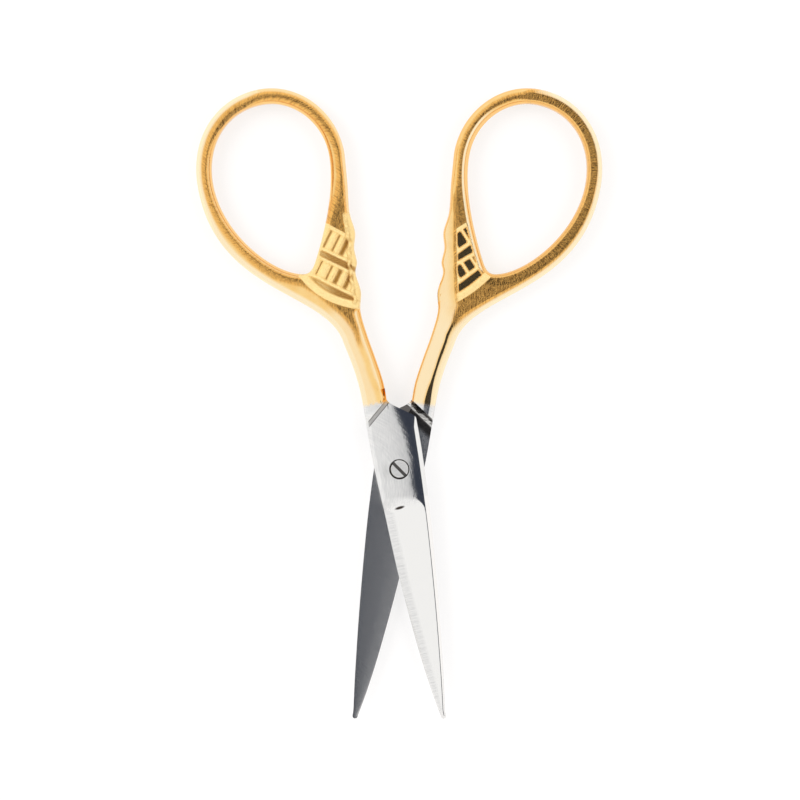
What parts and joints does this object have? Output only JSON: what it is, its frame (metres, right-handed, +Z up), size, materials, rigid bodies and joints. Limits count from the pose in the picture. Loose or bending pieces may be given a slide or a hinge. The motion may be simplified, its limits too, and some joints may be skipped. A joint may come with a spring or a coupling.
{
  "type": "embroidery scissors",
  "caption": "Small needlework scissors with gilt egg-shaped finger bows, a relief-banded throat, a half-lap joint on a slotted pivot screw and slim pointed steel blades.",
  "frame": {"origin": "where the pivot's axis meets the flat underside that the scissors lie on", "axes": "+Z up along the pivot's axis, out of the screw's head; +Y from the pivot to between the finger bows; the blades point along -Y"},
  "size_m": [0.0562, 0.0873, 0.0042],
  "materials": {
    "gold_plated_steel": "polished gold plating on the steel handle; the joint plate and blade of the same forging are bare",
    "bare_steel": "finely ground and polished bare steel"
  },
  "bodies": {
    "rear": {"rear_half": "gold_plated_steel", "pivot_screw": "bare_steel"},
    "front": {"front_half": "gold_plated_steel"}
  },
  "joints": [
    {"name": "pivot", "type": "hinge", "parent": "rear", "child": "front", "pos_m": [0, 0, 0.00208], "axis": [0, 0, 1], "range_deg": [-19.4, 104]}
  ]
}
